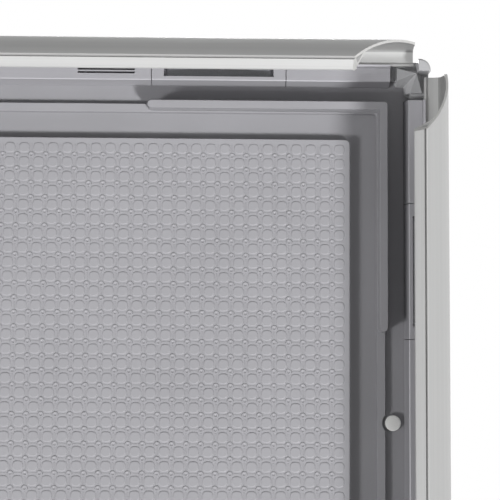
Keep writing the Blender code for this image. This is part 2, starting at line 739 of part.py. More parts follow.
def pockets_mesh():
    """The pockets behind the bed, which leave a lattice of ribs and a solid pad at the centre."""
    inner_width = WIDTH - 2 * (BED_INSET + BED_RIM)
    inner_height = HEIGHT - 2 * (BED_INSET + BED_RIM)
    columns = odd_count(inner_width)
    rows = odd_count(inner_height)
    step_x = inner_width / columns
    step_z = inner_height / rows
    bm = bmesh.new()
    for column in range(columns):
        for row in range(rows):
            if column == columns // 2 and row == rows // 2:
                continue
            x = step_x * (column - (columns - 1) / 2)
            z = step_z * (row - (rows - 1) / 2)
            half_x = (step_x - LATTICE_RIB) / 2
            half_z = (step_z - LATTICE_RIB) / 2
            corners = ((x - half_x, z - half_z), (x + half_x, z - half_z), (x + half_x, z + half_z), (x - half_x, z + half_z))
            heights = (-OVERRUN, BED_HEIGHT - BED_SKIN)
            loft(bm, [[Vector((cx, -h, cz)) for cx, cz in corners] for h in heights])
    return finished_mesh("lattice_pockets", bm)


def odd_count(length):
    """The odd number of pockets that fits a length best."""
    return 2 * round((length / LATTICE_PITCH - 1) / 2) + 1


def make_tray():
    here = Matrix.Identity(4)
    tray = add_object("back_tray", tray_body_mesh(), TRAY_PLASTIC, here)
    notch = drums_mesh("rib_notches", [
        (BOSS_RADIUS + NOTCH_GAP, FLOOR_HEIGHT + NOTCH_SILL), (BOSS_RADIUS + NOTCH_GAP, LOW_RIB_HEIGHT + OVERRUN)
    ])
    boss = drums_mesh("plug_bosses", [(BOSS_RADIUS, 0), (BOSS_RADIUS, BOSS_HEIGHT)])
    hole_radius = PLUG_STEM_RADIUS + FIT_GAP
    hole = drums_mesh("screw_holes", [(hole_radius, -OVERRUN), (hole_radius, BOSS_HEIGHT + OVERRUN)])
    boolean(tray, add_cutter("rib_notches", notch, here), "DIFFERENCE")
    boolean(tray, add_cutter("corner_ribs", corner_ribs_mesh(), here), "UNION")
    boolean(tray, add_cutter("plug_bosses", boss, here), "UNION")
    boolean(tray, add_cutter("screw_holes", hole, here), "DIFFERENCE")
    boolean(tray, add_cutter("lattice_pockets", pockets_mesh(), here), "DIFFERENCE")


def make_plugs():
    """A plug with a flat head and a stem in each boss."""
    seat = BOSS_HEIGHT + FIT_GAP
    head = seat + PLUG_HEAD_THICKNESS
    bm = bmesh.new()
    add_drum(bm, 0, 0, [
        (PLUG_STEM_RADIUS, FLOOR_HEIGHT - SHEET),
        (PLUG_STEM_RADIUS, seat),
        (PLUG_HEAD_RADIUS, seat),
        (PLUG_HEAD_RADIUS, head - PLUG_HEAD_THICKNESS / 3),
        (PLUG_HEAD_RADIUS - PLUG_HEAD_THICKNESS / 3, head),
    ])
    mesh = finished_mesh("screw_plug", bm)
    for name, x, z in plug_places():
        add_object("screw_plug_" + name, mesh, NYLON, Matrix.Translation((x, 0, z)))


remove_old_objects()
CASSETTE = cassette_mesh()
WINDOW = window_mesh()
SPRING = spring_mesh()
BLOCK = connector_block_mesh()
CONNECTOR_ADDITIONS = (nub_mesh(), tongue_mesh("a"), tongue_mesh("b"))
make_tray()
for frame_side in SIDES:
    make_base_rail(frame_side)
    make_snap_rail(frame_side)
    make_cassettes(frame_side)
for corner in CORNERS:
    make_connector(*corner)
make_plugs()
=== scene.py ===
"""Looks of a front-opening snap frame for a poster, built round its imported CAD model.

All sizes are in metres, in the CAD's own frame: X to the right, Z up, the front towards -Y, the wall plane at
Y = 0. A cross-section of a side is drawn in d, the distance inwards from the outer edge, and h, the height in
front of the wall.
"""

import math

import bmesh
import bpy
from bpy.props import FloatProperty, FloatVectorProperty, IntProperty, PointerProperty
from mathutils import Matrix, Vector


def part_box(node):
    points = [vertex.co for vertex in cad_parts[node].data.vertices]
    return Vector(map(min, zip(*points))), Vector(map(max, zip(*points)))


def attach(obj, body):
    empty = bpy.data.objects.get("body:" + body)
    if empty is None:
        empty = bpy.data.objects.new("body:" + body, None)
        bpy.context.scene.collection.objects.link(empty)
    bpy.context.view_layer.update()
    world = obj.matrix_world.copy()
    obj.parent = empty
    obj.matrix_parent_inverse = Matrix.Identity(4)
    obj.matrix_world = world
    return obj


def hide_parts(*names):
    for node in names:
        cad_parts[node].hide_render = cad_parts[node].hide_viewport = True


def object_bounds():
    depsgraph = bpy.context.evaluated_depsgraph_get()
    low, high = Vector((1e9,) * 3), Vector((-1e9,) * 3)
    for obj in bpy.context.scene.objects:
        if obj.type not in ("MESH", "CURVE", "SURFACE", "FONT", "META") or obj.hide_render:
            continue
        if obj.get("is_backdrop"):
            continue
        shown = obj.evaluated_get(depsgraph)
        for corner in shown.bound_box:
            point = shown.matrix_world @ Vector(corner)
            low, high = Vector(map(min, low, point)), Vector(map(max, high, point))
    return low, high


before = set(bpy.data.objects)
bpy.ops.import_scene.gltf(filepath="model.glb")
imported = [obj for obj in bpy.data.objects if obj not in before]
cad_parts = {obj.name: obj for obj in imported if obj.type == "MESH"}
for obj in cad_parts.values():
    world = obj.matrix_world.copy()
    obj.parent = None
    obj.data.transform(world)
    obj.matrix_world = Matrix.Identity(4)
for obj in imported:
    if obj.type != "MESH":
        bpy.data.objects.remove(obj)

bl_info = {
    "name": "Poster Snap Frame",
    "version": (1, 0, 0),
    "blender": (4, 5, 0),
    "location": "View3D > Sidebar > Snap Frame",
    "description": "Builds the pieces, finishes and studio of a poster snap frame",
    "category": "Object",
}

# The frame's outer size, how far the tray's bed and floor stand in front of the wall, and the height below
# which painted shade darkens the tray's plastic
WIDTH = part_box("base_rail_right")[1].x * 2
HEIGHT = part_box("base_rail_top")[1].z * 2
BED_HEIGHT = 0.0065
FLOOR_HEIGHT = 0.0030
SHADE_BELOW = BED_HEIGHT - 0.0010

# How much the edges of the small parts are rounded, and the least angle between a connector's facets
CASSETTE_EDGE = 0.00012
SPRING_EDGE = 0.00008
CONNECTOR_EDGE = 0.00012
FACET_DEG = 9.0

# A face of a snap rail whose normal points along the rail by more than this is a sawn end
END_FACING = 0.3

# The camera's place, and its yaw to the right, its pitch upwards and its roll
CAMERA_PLACE = (0.14601, -0.58702, 0.18515)
CAMERA_TURN_DEG = (0.7357, 4.9008, 0.3736)
SENSOR_WIDTH = 36.0

# Each light's name, the width of its disc in degrees and the direction in which it shines
LIGHTS = (
    ("left_key", 12.0, (1.5, 1.0, 0.85)),
    ("right_key", 10.0, (-0.77, 1.0, 1.0)),
    ("back_key", 20.0, (0.0, -1.0, -0.26)),
)

# The floor's half width, its distance below the frame, and where it fades into the white
FLOOR_REACH = 4.0
FLOOR_DROP = 0.0002
FADE_START = 0.7
FADE_END = 2.2
WHITE = (1.0, 1.0, 1.0, 1.0)


def colour_property(name, description, default):
    return FloatVectorProperty(
        name=name, description=description, default=default, size=3, subtype="COLOR", min=0.0, max=1.0
    )


def length_property(name, description, default):
    return FloatProperty(
        name=name, description=description, default=default, unit="LENGTH", precision=5, min=0.0
    )


def strength_property(name, description, default):
    return FloatProperty(name=name, description=description, default=default, min=0.0)


class RailSettings(bpy.types.PropertyGroup):
    """Sizes of the snap rails' section and the rounding of their edges."""

    wall: length_property("Wall", "Thickness of the snap rail's crown and outer wall", 0.0011)
    crown_radius: length_property("Crown radius", "Outside radius of the rounded crown", 0.03412)
    corner_height: length_property("Corner height", "Height of the crown at the outer edge", 0.0160)
    crease_inset: length_property("Crease inset", "Where the crown meets the lip", 0.0369)
    crease_height: length_property("Crease height", "Height of the crease in front of the wall", 0.0132)
    end_setback: length_property("End setback", "How far the square end stops before the corner", 0.0074)
    open_angle: FloatProperty(
        name="Open angle", description="How far the rails are turned open", default=math.radians(75.0),
        subtype="ANGLE",
    )
    edge_round: length_property("Edge round", "Width of the rounding on the snap rails' edges", 0.00018)


class BedSettings(bpy.types.PropertyGroup):
    """Sizes of the raised pattern on the tray's bed."""

    pitch_across: length_property("Pitch across", "Distance from pad to pad across the bed", 0.00645)
    pitch_up: length_property("Pitch up", "Distance from pad to pad up the bed", 0.00645)
    columns: IntProperty(name="Columns", description="Pads across the bed", default=61, min=2)
    rows: IntProperty(name="Rows", description="Pads up the bed, an even number", default=88, min=4)
    pad_width: length_property("Pad width", "Width of a pad at its foot", 0.0048)
    pad_corner: length_property("Pad corner", "Radius of a pad's corners", 0.0016)
    ring_radius: length_property("Ring radius", "Outside radius of the ring between four pads", 0.0015)
    bar_width: length_property("Bar width", "Width of the bars between the rings", 0.0006)
    relief: length_property("Relief", "How far the pattern stands above the bed", 0.00028)
    spread: FloatProperty(
        name="Spread", description="How much the pattern differs in height", default=0.1, min=0.0, max=0.5
    )
    seed: IntProperty(name="Seed", description="Seed of the height differences", default=7)


class FinishSettings(bpy.types.PropertyGroup):
    """Colours of the materials."""

    aluminium: colour_property("Aluminium", "Anodised snap rails", (0.535, 0.536, 0.532))
    cut: colour_property("Cut ends", "Sawn ends of the snap rails", (0.660, 0.660, 0.645))
    # Painted shade: a darker aluminium colour for the inside under the crown
    inside: colour_property("Inside", "Bare aluminium inside the snap rails", (0.290, 0.290, 0.288))
    web: colour_property("Web", "Anodised base rails and cassettes", (0.500, 0.494, 0.524))
    tray: colour_property("Tray", "Moulded grey plastic", (0.392, 0.388, 0.410))
    connector: colour_property("Connector", "Moulded corner blocks", (0.480, 0.482, 0.494))
    spring: colour_property("Spring", "Bright spring steel", (0.740, 0.750, 0.780))
    plug: colour_property("Plug", "White nylon plugs", (0.940, 0.940, 0.920))
    floor: colour_property("Floor", "Pale studio floor", (0.860, 0.860, 0.860))


class StageSettings(bpy.types.PropertyGroup):
    """Light levels and the camera's lens."""

    left_key: strength_property("Left key", "Strength of the light from the lower left", 1.40)
    right_key: strength_property("Right key", "Strength of the light from the lower right", 2.85)
    back_key: strength_property("Back key", "Strength of the light from behind", 1.30)
    world: strength_property("World", "Strength of the light from all round", 0.2)
    floor_glow: strength_property("Floor glow", "How much paler the floor is seen than lit", 0.55)
    lens: FloatProperty(name="Lens", description="Focal length", default=93.6, unit="CAMERA", min=1.0)


class SnapFrameSettings(bpy.types.PropertyGroup):
    """All settings of the snap frame."""

    rails: PointerProperty(type=RailSettings, name="Rails", description="Sizes of the rails")
    bed: PointerProperty(type=BedSettings, name="Bed", description="Sizes of the bed's pattern")
    finish: PointerProperty(type=FinishSettings, name="Finish", description="Colours")
    stage: PointerProperty(type=StageSettings, name="Stage", description="Light and camera")


# Meshes


def add_object(name, mesh):
    obj = bpy.data.objects.new(name, mesh)
    bpy.context.scene.collection.objects.link(obj)
    return obj


def mesh_from(name, bm):
    mesh = bpy.data.meshes.new(name)
    bm.to_mesh(mesh)
    bm.free()
    return mesh


def freeze(obj):
    """Turns what the object's modifiers make into its plain mesh."""
    graph = bpy.context.evaluated_depsgraph_get()
    made = bpy.data.meshes.new_from_object(
        obj.evaluated_get(graph), preserve_all_data_layers=True, depsgraph=graph
    )
    if not made.polygons:
        raise RuntimeError(obj.name + " came out empty")
    obj.modifiers.clear()
    old = obj.data
    obj.data = made
    made.name = obj.name
    bpy.data.meshes.remove(old)


def clean(mesh, melt=True):
    """Joins loose triangles, melts them into flat faces if asked, and turns all faces outwards."""
    bm = bmesh.new()
    bm.from_mesh(mesh)
    bmesh.ops.remove_doubles(bm, verts=bm.verts, dist=0.000002)
    if melt:
        bmesh.ops.dissolve_limit(bm, angle_limit=math.radians(0.2), verts=bm.verts, edges=bm.edges)
    bmesh.ops.recalc_face_normals(bm, faces=bm.faces)
    bm.to_mesh(mesh)
    bm.free()


def shade(obj, sharp_deg, flats_sharp=False):
    """Shades the piece smooth up to an angle and keeps its flats flat.

    With flats_sharp, a flat that is square to the frame ends sharply at all its edges.
    """
    obj.data.shade_smooth()
    obj.data.set_sharp_from_angle(angle=math.radians(sharp_deg))
    if flats_sharp:
        bm = bmesh.new()
        bm.from_mesh(obj.data)
        for edge in bm.edges:
            square = any(max(abs(part) for part in face.normal) > 0.9999 for face in edge.link_faces)
            if square and edge.calc_face_angle(math.pi) > math.radians(2.0):
                edge.smooth = False
        bm.to_mesh(obj.data)
        bm.free()
    flats = obj.modifiers.new("Flats", "WEIGHTED_NORMAL")
    flats.weight = 100
    flats.keep_sharp = True
    freeze(obj)


def soften(obj, width, limit_deg=28.0, sharp_deg=50.0):
    """Rounds the sharp edges and shades the piece smooth."""
    clean(obj.data)
    bevel = obj.modifiers.new("Edge round", "BEVEL")
    bevel.width = width
    bevel.segments = 2
    bevel.limit_method = "ANGLE"
    bevel.angle_limit = math.radians(limit_deg)
    bevel.use_clamp_overlap = True
    freeze(obj)
    shade(obj, sharp_deg)


def give(obj, material):
    obj.data.materials.clear()
    obj.data.materials.append(material)


def softened_node(node, name, width, material, limit_deg=28.0, sharp_deg=50.0):
    """A piece in a CAD node's place, with its edges rounded."""
    obj = add_object(name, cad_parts[node].data.copy())
    if width:
        soften(obj, width, limit_deg, sharp_deg)
    else:
        clean(obj.data, melt=False)
        shade(obj, sharp_deg, flats_sharp=True)
    give(obj, material)
    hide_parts(node)
    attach(obj, "frame")


def nodes_named(start):
    return [node for node in sorted(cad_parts) if node.startswith(start)]


# Geometry Nodes


def new_tree(name, inputs):
    """A tree with geometry in and out and its named inputs, and its two end nodes."""
    tree = bpy.data.node_groups.new(name, "GeometryNodeTree")
    tree.is_modifier = True
    tree.interface.new_socket("Geometry", in_out="INPUT", socket_type="NodeSocketGeometry")
    for label, kind in inputs:
        tree.interface.new_socket(label, in_out="INPUT", socket_type="NodeSocket" + kind)
    tree.interface.new_socket("Geometry", in_out="OUTPUT", socket_type="NodeSocketGeometry")
    return tree, tree.nodes.new("NodeGroupInput"), tree.nodes.new("NodeGroupOutput")


def wire(tree, kind, links=(), **settings):
    """A node whose inputs, by name or place, are linked to sockets or set to values."""
    node = tree.nodes.new(kind)
    for key, value in settings.items():
        setattr(node, key, value)
    for key, value in dict(links).items():
        if isinstance(value, bpy.types.NodeSocket):
            tree.links.new(value, node.inputs[key])
        else:
            node.inputs[key].default_value = value
    return node


def maths(tree, operation, *values):
    return wire(tree, "ShaderNodeMath", enumerate(values), operation=operation).outputs[0]


def run_tree(obj, tree, values):
    """Puts the tree on the object with its values, and freezes the result."""
    modifier = obj.modifiers.new(tree.name, "NODES")
    modifier.node_group = tree
    for item in tree.interface.items_tree:
        if item.in_out == "INPUT" and item.name in values:
            modifier[item.identifier] = values[item.name]
    freeze(obj)


def repeat_tree():
    """Repeats a shape, drawn lying flat, on an upright grid that faces the front."""
    found = bpy.data.node_groups.get("Repeat on Grid")
    if found:
        return found
    inputs = [("Columns", "Int"), ("Rows", "Int"), ("Pitch Across", "Float"), ("Pitch Up", "Float")]
    inputs += [("Middle X", "Float"), ("Middle Z", "Float"), ("Height", "Float")]
    inputs += [("Spread", "Float"), ("Seed", "Int"), ("Material", "Material")]
    tree, start, end = new_tree("Repeat on Grid", inputs)
    given = start.outputs
    across = maths(tree, "MULTIPLY", maths(tree, "SUBTRACT", given["Columns"], 1.0), given["Pitch Across"])
    up = maths(tree, "MULTIPLY", maths(tree, "SUBTRACT", given["Rows"], 1.0), given["Pitch Up"])
    grid = wire(tree, "GeometryNodeMeshGrid", {
        "Size X": across, "Size Y": up, "Vertices X": given["Columns"], "Vertices Y": given["Rows"]
    })
    least = maths(tree, "SUBTRACT", 1.0, given["Spread"])
    tall = wire(tree, "FunctionNodeRandomValue", {2: least, 3: 1.0, "Seed": given["Seed"]})
    scale = wire(tree, "ShaderNodeCombineXYZ", {0: 1.0, 1: 1.0, 2: tall.outputs[1]})
    instances = wire(tree, "GeometryNodeInstanceOnPoints", {
        "Points": grid.outputs["Mesh"], "Instance": given["Geometry"], "Scale": scale.outputs[0]
    })
    real = wire(tree, "GeometryNodeRealizeInstances", {"Geometry": instances.outputs[0]})
    place = wire(tree, "ShaderNodeCombineXYZ", {
        0: given["Middle X"], 1: maths(tree, "MULTIPLY", given["Height"], -1.0), 2: given["Middle Z"]
    })
    upright = wire(tree, "GeometryNodeTransform", {
        "Geometry": real.outputs[0], "Translation": place.outputs[0], "Rotation": (math.pi / 2, 0.0, 0.0)
    })
    painted = wire(tree, "GeometryNodeSetMaterial", {
        "Geometry": upright.outputs[0], "Material": given["Material"]
    })
    tree.links.new(painted.outputs[0], end.inputs[0])
    return tree


def rail_tree():
    """Draws a section, given as closed loops with d along X and h along Y, into a rail with mitred ends.

    The ends are square up to End Setback. Below the crease the lip stops short of the mitre, by Lip Trim
    times the distance from the crease.
    """
    found = bpy.data.node_groups.get("Mitred Rail")
    if found:
        return found
    inputs = [("Length", "Float"), ("Mitre Gap", "Float"), ("End Setback", "Float"), ("Material", "Material")]
    inputs += [("Lip Trim", "Float"), ("Lip Start", "Float"), ("Crease Height", "Float")]
    tree, start, end = new_tree("Mitred Rail", inputs)
    given = start.outputs
    loops = wire(tree, "GeometryNodeMeshToCurve", {"Mesh": given["Geometry"]})
    section = wire(tree, "GeometryNodeFillCurve", {"Curve": loops.outputs[0]})
    far = wire(tree, "ShaderNodeCombineXYZ", {0: 0.0, 1: 0.0, 2: given["Length"]})
    drawn = wire(tree, "GeometryNodeExtrudeMesh", {
        "Mesh": section.outputs[0], "Offset": far.outputs[0], "Offset Scale": 1.0, "Individual": False
    })
    near = wire(tree, "GeometryNodeFlipFaces", {"Mesh": section.outputs[0]})
    both = wire(tree, "GeometryNodeJoinGeometry")
    tree.links.new(drawn.outputs[0], both.inputs[0])
    tree.links.new(near.outputs[0], both.inputs[0])
    whole = wire(tree, "GeometryNodeMergeByDistance", {"Geometry": both.outputs[0], "Distance": 0.000001})
    spot = wire(tree, "ShaderNodeSeparateXYZ", {0: tree.nodes.new("GeometryNodeInputPosition").outputs[0]})
    d, h, s = spot.outputs
    half = maths(tree, "DIVIDE", given["Length"], 2.0)
    below = maths(tree, "MAXIMUM", maths(tree, "SUBTRACT", given["Crease Height"], h), 0.0)
    on_lip = maths(tree, "GREATER_THAN", d, given["Lip Start"])
    trim = maths(tree, "MULTIPLY", maths(tree, "MULTIPLY", below, given["Lip Trim"]), on_lip)
    mitre = maths(tree, "ADD", maths(tree, "ADD", d, given["Mitre Gap"]), trim)
    cut = maths(tree, "MAXIMUM", mitre, given["End Setback"])
    reach = maths(tree, "SUBTRACT", half, cut)
    side = maths(tree, "SIGN", maths(tree, "SUBTRACT", half, s))
    place = wire(tree, "ShaderNodeCombineXYZ", {
        0: maths(tree, "MULTIPLY", side, reach),
        1: maths(tree, "MULTIPLY", h, -1.0),
        2: maths(tree, "MULTIPLY", d, -1.0),
    })
    placed = wire(tree, "GeometryNodeSetPosition", {
        "Geometry": whole.outputs[0], "Position": place.outputs[0]
    })
    real = wire(tree, "GeometryNodeRealizeInstances", {"Geometry": placed.outputs[0]})
    painted = wire(tree, "GeometryNodeSetMaterial", {
        "Geometry": real.outputs[0], "Material": given["Material"]
    })
    tree.links.new(painted.outputs[0], end.inputs[0])
    return tree


# Materials


def new_material(name):
    made = bpy.data.materials.new(name)
    made.use_nodes = True
    return made, made.node_tree, made.node_tree.nodes["Principled BSDF"]


def object_noise(tree, scale, detail, stretch=(1.0, 1.0, 1.0)):
    """Noise on the object's own coordinates, drawn out along an axis where its stretch is small."""
    spot = wire(tree, "ShaderNodeTexCoord")
    sized = wire(tree, "ShaderNodeMapping", {"Vector": spot.outputs["Object"], "Scale": stretch})
    noise = wire(tree, "ShaderNodeTexNoise", {"Vector": sized.outputs[0], "Scale": scale, "Detail": detail})
    return noise.outputs[0]


def mapped(tree, value, low, high):
    """The middle half of a noise's range, spread from low to high."""
    return wire(tree, "ShaderNodeMapRange", {
        "Value": value, "From Min": 0.25, "From Max": 0.75, "To Min": low, "To Max": high
    }).outputs[0]


def shaded(tree, colour, share):
    """A colour times a share that varies over the surface."""
    mix = wire(tree, "ShaderNodeMix", {0: 1.0}, data_type="RGBA", blend_type="MULTIPLY")
    mix.inputs[6].default_value = (*colour, 1.0)
    grey = wire(tree, "ShaderNodeCombineXYZ", {0: share, 1: share, 2: share})
    tree.links.new(grey.outputs[0], mix.inputs[7])
    return mix.outputs[2]


def bumped(tree, height, strength, distance):
    return wire(tree, "ShaderNodeBump", {
        "Height": height, "Strength": strength, "Distance": distance
    }).outputs[0]


def painted_wall_shade(tree, least):
    """Painted shade: 1 where a surface faces the front, down to the least share on upright walls."""
    normal = wire(tree, "ShaderNodeTexCoord").outputs["Normal"]
    facing = maths(tree, "ABSOLUTE", wire(tree, "ShaderNodeSeparateXYZ", {0: normal}).outputs[1])
    return wire(tree, "ShaderNodeMapRange", {
        "Value": facing, "From Min": 0.3, "From Max": 0.97, "To Min": least, "To Max": 1.0
    }).outputs[0]


def drawn_metal(name, colour, roughness, along, metallic, walls=1.0):
    """Metal with the fine lines of its drawing along one axis and a soft unevenness, darkened on its walls by
    painted shade.
    """
    found = bpy.data.materials.get(name)
    if found:
        return found
    made, tree, shader = new_material(name)
    stretch = tuple(0.004 if axis == along else 1.0 for axis in "XYZ")
    lines = object_noise(tree, 2600.0, 3.0, stretch)
    bands = object_noise(tree, 320.0, 2.0, stretch)
    patches = object_noise(tree, 18.0, 3.0)
    share = maths(tree, "MULTIPLY", mapped(tree, lines, 0.97, 1.03), mapped(tree, bands, 0.96, 1.04))
    # Painted shade on the upright walls
    if walls < 1.0:
        share = maths(tree, "MULTIPLY", share, painted_wall_shade(tree, walls))
    tree.links.new(shaded(tree, colour, share), shader.inputs["Base Color"])
    rough = mapped(tree, lines, roughness - 0.04, roughness + 0.04)
    rough = maths(tree, "ADD", rough, mapped(tree, patches, -0.03, 0.03))
    tree.links.new(rough, shader.inputs["Roughness"])
    tree.links.new(bumped(tree, lines, 0.25, 0.00002), shader.inputs["Normal"])
    shader.inputs["Metallic"].default_value = metallic
    return made


def moulded_plastic(name, colour, roughness, grain=5200.0, deep=None):
    """Moulded plastic with a fine grain, slow changes of tone and faint flow marks.

    Where deep gives two heights, painted shade makes the plastic darker at the first than at the second, and
    on its walls.
    """
    found = bpy.data.materials.get(name)
    if found:
        return found
    made, tree, shader = new_material(name)
    fine = object_noise(tree, grain, 2.0)
    tone = object_noise(tree, 26.0, 4.0)
    flow = object_noise(tree, 60.0, 3.0, (1.0, 1.0, 0.25))
    share = maths(tree, "MULTIPLY", mapped(tree, tone, 0.96, 1.04), mapped(tree, fine, 0.975, 1.025))
    # Painted shade: darker towards the recess floors and on upright walls
    if deep:
        spot = wire(tree, "ShaderNodeTexCoord").outputs["Object"]
        front = wire(tree, "ShaderNodeSeparateXYZ", {0: spot}).outputs[1]
        depth_shade = wire(tree, "ShaderNodeMapRange", {
            "Value": front, "From Min": -deep[0], "From Max": -deep[1], "To Min": 0.86, "To Max": 1.0
        })
        painted_recess_shade = maths(tree, "MULTIPLY", depth_shade.outputs[0], painted_wall_shade(tree, 0.7))
        share = maths(tree, "MULTIPLY", share, painted_recess_shade)
    tree.links.new(shaded(tree, colour, share), shader.inputs["Base Color"])
    shader.inputs["Specular IOR Level"].default_value = 0.4
    tree.links.new(mapped(tree, flow, roughness - 0.05, roughness + 0.05), shader.inputs["Roughness"])
    tree.links.new(bumped(tree, fine, 0.3, 0.00004), shader.inputs["Normal"])
    return made


def finish(context):
    return context.scene.snap_frame.finish


def rail_metal(context, along):
    return drawn_metal("satin_aluminium_" + along.lower(), finish(context).aluminium, 0.42, along, 0.2)


# Aluminium darkened as painted shade, for the inside under the crown
def painted_shade_inside_metal(context, along):
    return drawn_metal("mill_aluminium_" + along.lower(), finish(context).inside, 0.5, along, 0.2)


def cut_metal(context):
    """Bare aluminium with the marks of the saw."""
    found = bpy.data.materials.get("sawn_aluminium")
    if found:
        return found
    made, tree, shader = new_material("sawn_aluminium")
    marks = object_noise(tree, 1800.0, 2.0, (1.0, 0.08, 1.0))
    tint = shaded(tree, finish(context).cut, mapped(tree, marks, 0.9, 1.06))
    tree.links.new(tint, shader.inputs["Base Color"])
    tree.links.new(mapped(tree, marks, 0.3, 0.42), shader.inputs["Roughness"])
    tree.links.new(bumped(tree, marks, 0.3, 0.00003), shader.inputs["Normal"])
    shader.inputs["Metallic"].default_value = 0.3
    return made


# The web metal's upright walls get painted shade
def web_metal(context, along):
    return drawn_metal("web_aluminium_" + along.lower(), finish(context).web, 0.5, along, 0.3, walls=0.66)


# The tray's plastic gets painted shade in its recesses and on its walls
def tray_plastic(context):
    return moulded_plastic("grey_tray_plastic", finish(context).tray, 0.5, deep=(FLOOR_HEIGHT, SHADE_BELOW))


# The snap rail's section


def arc(centre, radius, start_deg, end_deg, step_deg=7.5):
    steps = max(2, math.ceil(abs(end_deg - start_deg) / step_deg))
    angles = [math.radians(start_deg + (end_deg - start_deg) * step / steps) for step in range(steps + 1)]
    return [(centre[0] + radius * math.cos(a), centre[1] + radius * math.sin(a)) for a in angles]


class SnapSection:
    """The closed section of a snap rail, and the small cell behind its lip, as points (d, h).

    The bead turns round the pivot in the base rail's socket, and a neck joins it to the outer wall, which ends
    at the skirt. The crown runs from the wall to the crease, and the lip from there down to its own edge.
    """

    pivot = (0.00165, 0.0086)
    bead = 0.0008
    neck_deg = (155.0, 100.0)
    neck_fillet = 0.0012
    skirt = 0.0103
    chamfer = 0.0005
    lip = (0.0345, 0.0072)
    lip_edge = 0.0010
    lip_bead = 0.0007
    lip_spread = 0.0028
    lip_start = 0.8
    lip_trim = 0.5
    groove_width = 0.0009
    groove_depth = 0.00065
    groove_floor = 0.6
    cell_wall = 0.0008
    fillet = 0.0022
    # Share of the fillet that the inside's painted shade also covers
    shaded_fillet_share = 0.4
    gap = 0.0003
    crown_steps = 44

    def __init__(self, rails):
        self.wall = rails.wall
        self.crease = (rails.crease_inset, rails.crease_height)
        self.outer = rails.crown_radius
        self.inner = rails.crown_radius - rails.wall
        chord = (rails.crease_inset / 2, (rails.crease_height - rails.corner_height) / 2)
        half = math.hypot(*chord)
        drop = math.sqrt(self.outer ** 2 - half ** 2)
        self.centre = (
            chord[0] + drop * chord[1] / half,
            rails.corner_height + chord[1] - drop * chord[0] / half,
        )

    def crown(self, d, radius):
        """The height of an arc round the crown's centre at one distance inwards."""
        return self.centre[1] + math.sqrt(radius ** 2 - (d - self.centre[0]) ** 2)

    def crown_run(self, start, end, radius, stop=None):
        """Points along the crown, with one more where the square end meets the mitre."""
        places = [start + (end - start) * step / self.crown_steps for step in range(self.crown_steps + 1)]
        if stop and all(abs(stop - d) > self.gap / 2 for d in places):
            places = sorted(places + [stop], reverse=start > end)
        return [(d, self.crown(d, radius)) for d in places]

    def on_bead(self, angle_deg):
        return arc(self.pivot, self.bead, angle_deg, angle_deg)[0]

    def inner_fillet(self):
        """Points round the hollow between the crown and the outer wall."""
        middle = self.wall + self.fillet
        reach = self.inner - self.fillet
        height = self.centre[1] + math.sqrt(reach ** 2 - (middle - self.centre[0]) ** 2)
        touch = math.degrees(math.atan2(height - self.centre[1], middle - self.centre[0]))
        return arc((middle, height), self.fillet, touch, 180.0)

    def lip_run(self):
        """Points down the lip: the groove under the crease, the lip's face and its rounded edge."""
        bead = (self.lip[0] - self.lip_edge / 3 - self.lip_bead, self.lip[1] + self.lip_bead)
        lean = (self.crease[0] - self.lip[0]) / (self.crease[1] - self.lip[1])
        floor_end = self.gap + self.groove_width * self.groove_floor
        groove = (
            (self.gap, 0.0), (self.gap, self.groove_depth),
            (floor_end, self.groove_depth), (self.gap + self.groove_width, 0.0),
        )
        run = [(self.crease[0] - lean * down - deep, self.crease[1] - down) for down, deep in groove]
        run.append((self.lip[0], self.lip[1] + self.lip_edge / 2))
        return run + arc(bead, self.lip_bead, -60.0, -240.0, 15.0)

    def outline(self, stop):
        """The whole section: outer wall, crown, lip, back along the inside, neck and hinge bead."""
        out = self.on_bead(self.neck_deg[0])
        into = self.on_bead(self.neck_deg[1])
        fillet = self.inner_fillet()
        neck_h = into[1] + self.neck_fillet
        return (
            [(out[0] / 2, out[1] + (self.skirt - out[1]) / 4), (0, self.skirt)]
            + [(0, self.crown(0, self.outer) - self.chamfer)]
            + self.crown_run(self.chamfer, self.crease[0] - self.gap, self.outer, stop)
            + self.lip_run()
            + self.crown_run(self.lip[0] - self.lip_spread, fillet[0][0], self.inner, stop)
            + fillet[1:]
            + [(self.wall, neck_h + self.neck_fillet), (into[0], neck_h)]
            + arc(self.pivot, self.bead, self.neck_deg[1], self.neck_deg[0] - 360.0, 15.0)
        )

    def cell(self):
        """The three corners of the cell."""
        top = self.crease[0] - self.cell_wall * 3 / 2
        back = self.lip[0] - self.lip_spread + self.cell_wall * 5 / 4
        low = self.lip[0] - self.cell_wall
        return [
            (top, self.crown(top, self.outer - self.wall)),
            (back, self.crown(back, self.outer - self.wall)),
            (low, (self.lip[1] + self.crease[1]) / 2),
        ]


# Pieces

# Each side's name, length, distance from the middle, and quarter turns from the top
SIDES = (
    ("top", WIDTH, HEIGHT / 2, 0),
    ("right", HEIGHT, WIDTH / 2, 1),
    ("bottom", WIDTH, HEIGHT / 2, 2),
    ("left", HEIGHT, WIDTH / 2, 3),
)


def side_matrix(reach, quarter_turns):
    return Matrix.Rotation(math.radians(90.0 * quarter_turns), 4, "Y") @ Matrix.Translation((0, 0, reach))


def axis_of(side):
    return "X" if side in ("top", "bottom") else "Z"


def finish_faces(rail, section, middle, along):
    """Gives the second material to the sawn ends, and the third, with painted shade, to the inside under the
    crown.
    """
    for face in rail.data.polygons:
        inward = middle - face.center
        inward[along] = 0
        if abs(face.normal[along]) > END_FACING:
            face.material_index = 1
        elif -section.wall / 4 < section.inner - inward.length < section.fillet * section.shaded_fillet_share:
            face.material_index = 2


